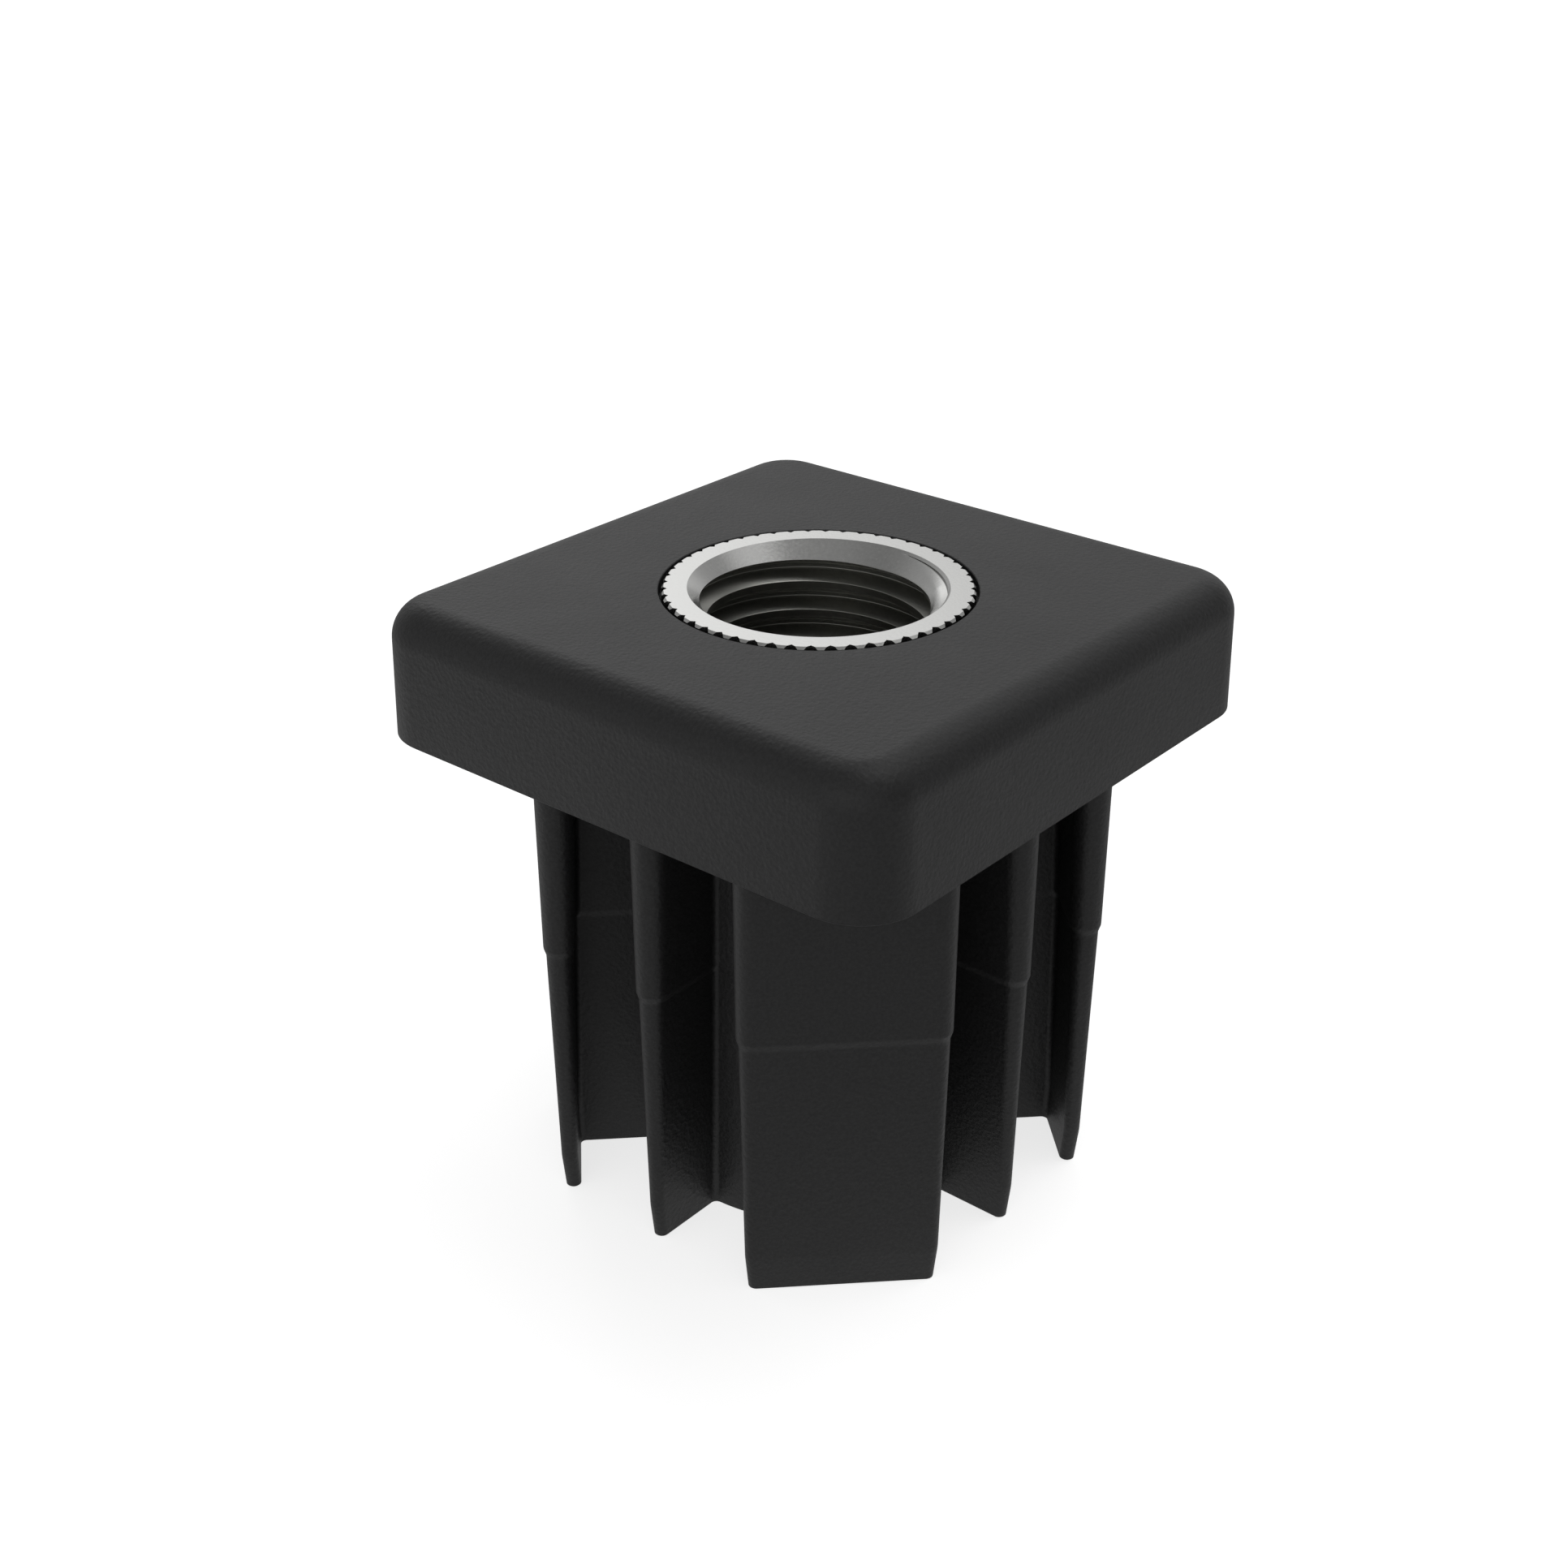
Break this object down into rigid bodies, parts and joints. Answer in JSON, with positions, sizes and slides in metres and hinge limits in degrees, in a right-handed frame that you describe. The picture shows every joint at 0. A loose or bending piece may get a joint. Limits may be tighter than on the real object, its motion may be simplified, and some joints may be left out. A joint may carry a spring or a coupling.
{
  "type": "threaded tube insert",
  "caption": "Square end plug for a square tube, with a ribbed shank that grips inside the tube and a knurled steel bush whose thread takes a levelling foot or castor stem.",
  "frame": {"origin": "on the thread's axis, in the plane of the cap's underside, where the cap meets the tube's end", "axes": "+Z along the thread, out through the cap's top face; X and Y square to the cap's sides"},
  "size_m": [0.04, 0.04, 0.0408],
  "materials": {
    "moulded_plastic": "black moulded plastic with a fine, dull mould grain",
    "bush_steel": "plain turned steel with a fine satin grain"
  },
  "bodies": {
    "root": {"plug_body": "moulded_plastic", "threaded_bush": "bush_steel"}
  },
  "joints": []
}
